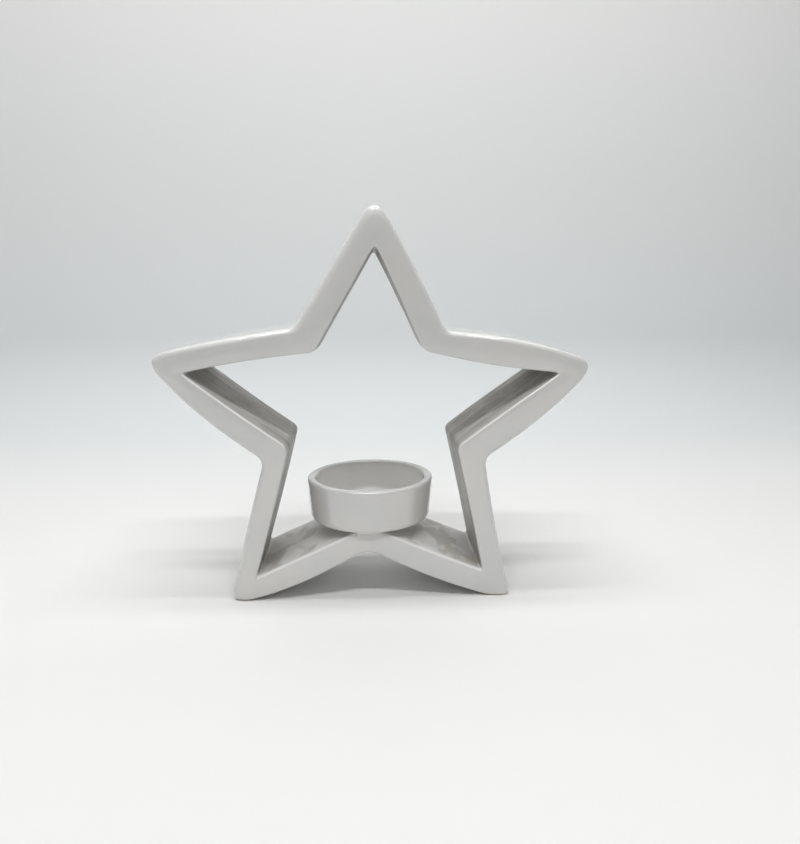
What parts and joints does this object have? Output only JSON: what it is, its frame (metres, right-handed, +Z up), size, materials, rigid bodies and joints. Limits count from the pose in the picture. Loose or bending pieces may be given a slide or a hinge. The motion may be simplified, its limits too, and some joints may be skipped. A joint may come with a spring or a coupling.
{
  "type": "tealight holder",
  "caption": "Glazed ceramic tealight holder: an open five-pointed star standing on two points, with a round cup for a tealight on the crest between its legs.",
  "frame": {"origin": "on the table, under the middle of the holder's width and depth", "axes": "+Z up from the table, +X across the star from its left point to its right point as seen from the front, +Y from the front face to the back face"},
  "size_m": [0.1504, 0.0472, 0.1386],
  "materials": {
    "star_glaze": "glossy white glaze",
    "cup_glaze": "glossy white glaze",
    "slip_glaze": "glossy white glaze, pooled"
  },
  "bodies": {
    "root": {"star_frame": "star_glaze", "tealight_cup": "cup_glaze", "slip_joint": "slip_glaze"}
  },
  "joints": []
}
